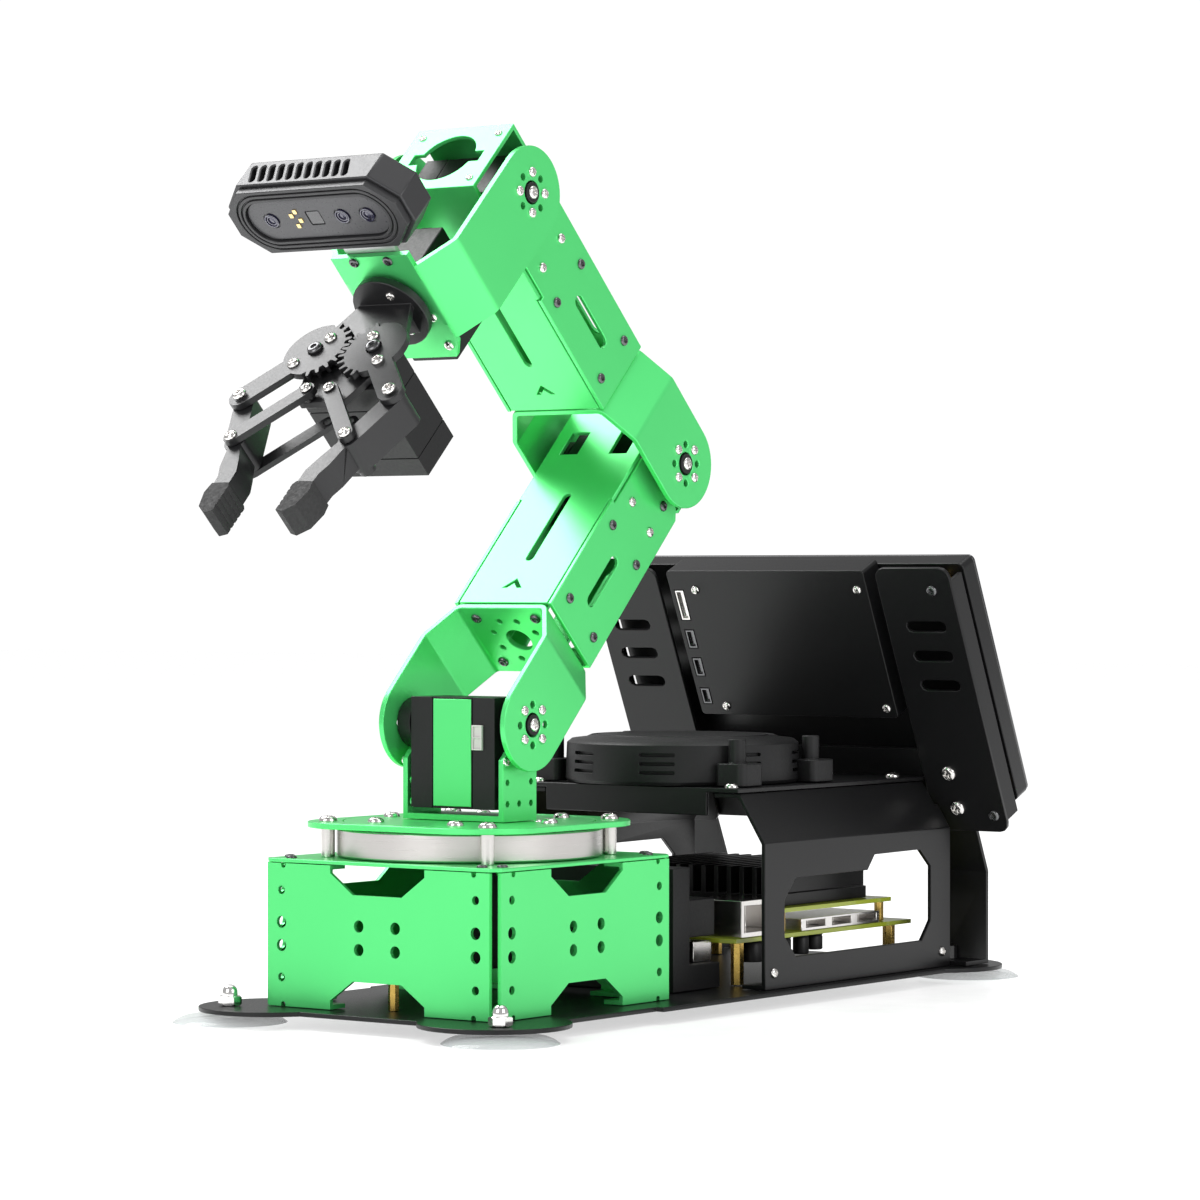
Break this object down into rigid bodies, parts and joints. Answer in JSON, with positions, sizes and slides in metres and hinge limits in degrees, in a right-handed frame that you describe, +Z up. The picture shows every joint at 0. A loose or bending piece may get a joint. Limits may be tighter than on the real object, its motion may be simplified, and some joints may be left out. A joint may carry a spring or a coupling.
{
  "type": "desktop robot arm",
  "caption": "Desktop robot arm with servo-driven links, parallel gripper, depth camera, turntable base, suction feet, electronics deck and tilted display.",
  "frame": {"origin": "on the tabletop, under the suction cups' rims, on the turntable's axis", "axes": "+X forward, the way the arm works; +Y to the arm's left; +Z up along the turntable's axis"},
  "size_m": [0.381, 0.1652, 0.309],
  "materials": {
    "anodised_green": "satin green anodised sheet",
    "black_metal": "satin black anodised sheet",
    "black_plastic": "fine-grained moulded black",
    "dark_grey_plastic": "satin dark grey",
    "bright_steel": "bright turned steel",
    "clear_rubber": "clear glossy soft rubber",
    "dark_glass": "dark polished window",
    "circuit_board": "solder mask over fibreglass"
  },
  "bodies": {
    "base": {"base_plate": "black_metal", "bearing_clamp": "anodised_green", "bearing_outer_ring": "bright_steel", "box_lid": "anodised_green", "box_panel_front": "anodised_green", "box_panel_left": "anodised_green", "box_panel_rear": "anodised_green", "box_panel_right": "anodised_green", "carrier_board": "circuit_board", "compute_module": "black_plastic", "connector_module": "black_plastic", "display_driver": "black_plastic", "display_panel": "black_plastic", "dome_nut_front_left": "bright_steel", "dome_nut_front_right": "bright_steel", "dome_nut_rear_left": "bright_steel", "dome_nut_rear_right": "bright_steel", "mic_array": "black_plastic", "rear_deck": "black_metal", "screen_stand": "black_metal", "screen_wing_left": "black_metal", "screen_wing_right": "black_metal", "side_bracket_left": "black_metal", "side_bracket_right": "black_metal", "suction_cup_front_left": "clear_rubber", "suction_cup_front_right": "clear_rubber", "suction_cup_rear_left": "clear_rubber", "suction_cup_rear_right": "clear_rubber", "yaw_servo": "black_plastic"},
    "turntable": {"turntable_disc": "anodised_green", "shoulder_bracket": "anodised_green", "shoulder_servo": "black_plastic"},
    "lower_arm": {"shoulder_yoke": "anodised_green", "shoulder_horn": "black_plastic", "shoulder_idler": "black_plastic", "lower_channel": "anodised_green", "lower_cover": "anodised_green", "elbow_servo": "black_plastic"},
    "forearm": {"elbow_yoke": "anodised_green", "elbow_horn": "black_plastic", "elbow_idler": "black_plastic", "forearm_channel": "anodised_green", "forearm_cover": "anodised_green", "wrist_servo": "black_plastic"},
    "hand": {"wrist_yoke": "anodised_green", "wrist_horn": "black_plastic", "wrist_idler": "black_plastic", "roll_servo": "black_plastic", "camera_bracket": "black_metal", "depth_camera": "dark_grey_plastic", "camera_window": "dark_glass"},
    "gripper": {"gripper_frame": "black_metal", "gripper_servo": "black_plastic"},
    "gear_arm_left": {"gear_arm_left": "black_metal"},
    "inner_link_left": {"inner_link_left": "black_metal"},
    "finger_left": {"finger_left": "black_metal"},
    "gear_arm_right": {"gear_arm_right": "black_metal"},
    "inner_link_right": {"inner_link_right": "black_metal"},
    "finger_right": {"finger_right": "black_metal"}
  },
  "joints": [
    {"name": "base_yaw", "type": "hinge", "parent": "base", "child": "turntable", "pos_m": [0, 0, 0.0678], "axis": [0, 0, 1], "range_deg": [-120, 120]},
    {"name": "shoulder_pitch", "type": "hinge", "parent": "turntable", "child": "lower_arm", "pos_m": [0, 0, 0.10234], "axis": [0, 1, 0], "range_deg": [-30, 60]},
    {"name": "elbow_pitch", "type": "hinge", "parent": "lower_arm", "child": "forearm", "pos_m": [-0.09124, 0, 0.19409], "axis": [0, 1, 0], "range_deg": [-120, 0]},
    {"name": "wrist_pitch", "type": "hinge", "parent": "forearm", "child": "hand", "pos_m": [0.00078, 0, 0.28507], "axis": [0, 1, 0], "range_deg": [-110, 15]},
    {"name": "wrist_roll", "type": "hinge", "parent": "hand", "child": "gripper", "pos_m": [0.04321, 0, 0.24264], "axis": [0.7071, 0, -0.7071], "range_deg": [-120, 120]},
    {"name": "gear_arm_left_pivot", "type": "hinge", "parent": "gripper", "child": "gear_arm_left", "pos_m": [0.06711, 0.0126, 0.22864], "axis": [0.7071, 0, 0.7071], "range_deg": [-28, 20]},
    {"name": "inner_link_left_pivot", "type": "hinge", "parent": "gripper", "child": "inner_link_left", "pos_m": [0.08097, 0.0049, 0.21478], "axis": [0.7071, 0, 0.7071], "range_deg": [-28, 20]},
    {"name": "finger_left_pivot", "type": "hinge", "parent": "gear_arm_left", "child": "finger_left", "pos_m": [0.08066, 0.03221, 0.21084], "axis": [0.7071, 0, 0.7071], "range_deg": [-20, 28]},
    {"name": "gear_arm_right_pivot", "type": "hinge", "parent": "gripper", "child": "gear_arm_right", "pos_m": [0.06711, -0.0126, 0.22864], "axis": [0.7071, 0, 0.7071], "range_deg": [-20, 28]},
    {"name": "inner_link_right_pivot", "type": "hinge", "parent": "gripper", "child": "inner_link_right", "pos_m": [0.08097, -0.0049, 0.21478], "axis": [0.7071, 0, 0.7071], "range_deg": [-20, 28]},
    {"name": "finger_right_pivot", "type": "hinge", "parent": "gear_arm_right", "child": "finger_right", "pos_m": [0.08066, -0.03221, 0.21084], "axis": [0.7071, 0, 0.7071], "range_deg": [-28, 20]}
  ],
  "couplings": [
    {"joint": "gear_arm_right_pivot", "follows": "gear_arm_left_pivot", "ratio": -1},
    {"joint": "inner_link_left_pivot", "follows": "gear_arm_left_pivot", "ratio": 1},
    {"joint": "inner_link_right_pivot", "follows": "gear_arm_left_pivot", "ratio": -1},
    {"joint": "finger_left_pivot", "follows": "gear_arm_left_pivot", "ratio": -1},
    {"joint": "finger_right_pivot", "follows": "gear_arm_left_pivot", "ratio": 1}
  ]
}
